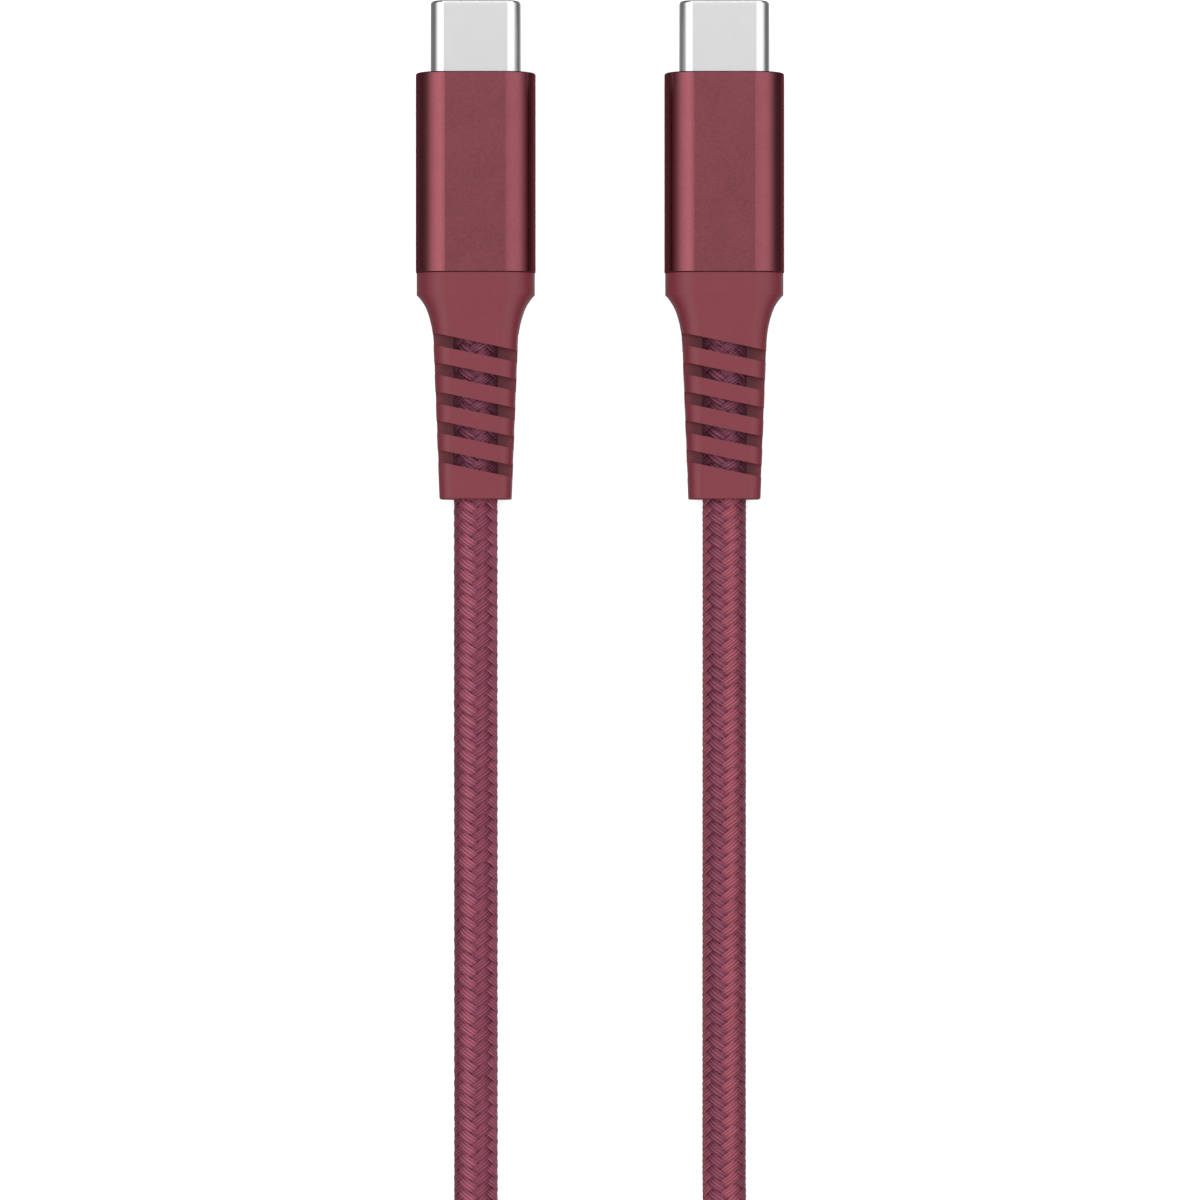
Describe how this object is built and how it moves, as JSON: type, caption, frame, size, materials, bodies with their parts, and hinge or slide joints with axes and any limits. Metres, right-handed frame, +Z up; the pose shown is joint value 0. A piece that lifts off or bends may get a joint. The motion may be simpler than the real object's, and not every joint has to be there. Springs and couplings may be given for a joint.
{
  "type": "charging cable",
  "caption": "Braided charging cable with a reversible plug in an anodised sleeve and a slotted strain relief at each end; the spare length is tied in a hank.",
  "frame": {"origin": "on the resting surface, under the middle of the pair of plugs", "axes": "+Y points the way both plugs point, +X from the first plug to the second, +Z up from the surface"},
  "size_m": [0.036, 0.2338, 0.01],
  "materials": {
    "plug_steel": "satin nickel-plated stainless steel",
    "spring_steel": "bright spring steel",
    "black_moulding": "black glass-filled moulding",
    "contact_gold": "gold-plated copper alloy",
    "board": "green solder mask",
    "ceramic_chips": "ceramic chip parts",
    "natural_moulding": "translucent natural moulding",
    "tinned_can": "tin-plated steel sheet",
    "crimp_metal": "crimped metal ring",
    "inner_jacket": "dark soft jacket under the braid",
    "braid": "burgundy braided yarn with a soft sheen",
    "burgundy_plastic": "dyed matte plastic",
    "anodised_sleeve": "blasted and anodised burgundy",
    "relief_rubber": "matte burgundy elastomer",
    "tie_strap": "woven hook-and-loop strap",
    "wire_red": "wire insulation",
    "wire_green": "wire insulation",
    "wire_white": "wire insulation",
    "wire_black": "wire insulation",
    "wire_blue": "wire insulation"
  },
  "bodies": {
    "cable": {"shell_a": "plug_steel", "insulator_a": "black_moulding", "contact_tails_upper_a": "contact_gold", "contact_tails_lower_a": "contact_gold", "latch_plate_a": "spring_steel", "emi_spring_upper_a": "spring_steel", "emi_spring_lower_a": "spring_steel", "circuit_board_a": "board", "marker_chip_a": "black_moulding", "board_passives_a": "ceramic_chips", "inner_mould_a": "natural_moulding", "shield_upper_a": "tinned_can", "shield_lower_a": "tinned_can", "ferrule_a": "crimp_metal", "jacket_end_a": "inner_jacket", "cord_end_a": "braid", "bezel_a": "burgundy_plastic", "housing_a": "anodised_sleeve", "strain_relief_a": "relief_rubber", "wire_power_a": "wire_red", "wire_data_plus_a": "wire_green", "wire_data_minus_a": "wire_white", "wire_ground_a": "wire_black", "wire_config_a": "wire_blue", "shell_b": "plug_steel", "insulator_b": "black_moulding", "contact_tails_upper_b": "contact_gold", "contact_tails_lower_b": "contact_gold", "latch_plate_b": "spring_steel", "emi_spring_upper_b": "spring_steel", "emi_spring_lower_b": "spring_steel", "circuit_board_b": "board", "marker_chip_b": "black_moulding", "board_passives_b": "ceramic_chips", "inner_mould_b": "natural_moulding", "shield_upper_b": "tinned_can", "shield_lower_b": "tinned_can", "ferrule_b": "crimp_metal", "jacket_end_b": "inner_jacket", "cord_end_b": "braid", "bezel_b": "burgundy_plastic", "housing_b": "anodised_sleeve", "strain_relief_b": "relief_rubber", "wire_power_b": "wire_red", "wire_data_plus_b": "wire_green", "wire_data_minus_b": "wire_white", "wire_ground_b": "wire_black", "wire_config_b": "wire_blue", "cord_lead_a": "braid", "cord_lead_b": "braid", "cord_hank": "braid", "hank_tie": "tie_strap"},
    "contact_arms_upper_a": {"contact_arms_upper_a": "contact_gold"},
    "contact_arms_lower_a": {"contact_arms_lower_a": "contact_gold"},
    "latch_arm_left_a": {"latch_arm_left_a": "spring_steel"},
    "latch_arm_right_a": {"latch_arm_right_a": "spring_steel"},
    "contact_arms_upper_b": {"contact_arms_upper_b": "contact_gold"},
    "contact_arms_lower_b": {"contact_arms_lower_b": "contact_gold"},
    "latch_arm_left_b": {"latch_arm_left_b": "spring_steel"},
    "latch_arm_right_b": {"latch_arm_right_b": "spring_steel"}
  },
  "joints": [
    {"name": "contacts_upper_flex_a", "type": "hinge", "parent": "cable", "child": "contact_arms_upper_a", "pos_m": [-0.0114, 0.0141, 0.00335], "axis": [1, 0, 0], "range_deg": [0, 1.2], "stiffness_Nm_per_rad": 2.4},
    {"name": "contacts_lower_flex_a", "type": "hinge", "parent": "cable", "child": "contact_arms_lower_a", "pos_m": [-0.0114, 0.0141, 0.00215], "axis": [1, 0, 0], "range_deg": [-1.2, 0], "stiffness_Nm_per_rad": 2},
    {"name": "latch_left_flex_a", "type": "hinge", "parent": "cable", "child": "latch_arm_left_a", "pos_m": [-0.01489, 0.0136, 0.00275], "axis": [0, 0, 1], "range_deg": [0, 0.8], "stiffness_Nm_per_rad": 1.6},
    {"name": "latch_right_flex_a", "type": "hinge", "parent": "cable", "child": "latch_arm_right_a", "pos_m": [-0.00791, 0.0136, 0.00275], "axis": [0, 0, 1], "range_deg": [-0.8, 0], "stiffness_Nm_per_rad": 1.6},
    {"name": "contacts_upper_flex_b", "type": "hinge", "parent": "cable", "child": "contact_arms_upper_b", "pos_m": [0.0114, 0.0141, 0.00335], "axis": [1, 0, 0], "range_deg": [0, 1.2], "stiffness_Nm_per_rad": 2.4},
    {"name": "contacts_lower_flex_b", "type": "hinge", "parent": "cable", "child": "contact_arms_lower_b", "pos_m": [0.0114, 0.0141, 0.00215], "axis": [1, 0, 0], "range_deg": [-1.2, 0], "stiffness_Nm_per_rad": 2},
    {"name": "latch_left_flex_b", "type": "hinge", "parent": "cable", "child": "latch_arm_left_b", "pos_m": [0.00791, 0.0136, 0.00275], "axis": [0, 0, 1], "range_deg": [0, 0.8], "stiffness_Nm_per_rad": 1.6},
    {"name": "latch_right_flex_b", "type": "hinge", "parent": "cable", "child": "latch_arm_right_b", "pos_m": [0.01489, 0.0136, 0.00275], "axis": [0, 0, 1], "range_deg": [-0.8, 0], "stiffness_Nm_per_rad": 1.6}
  ]
}
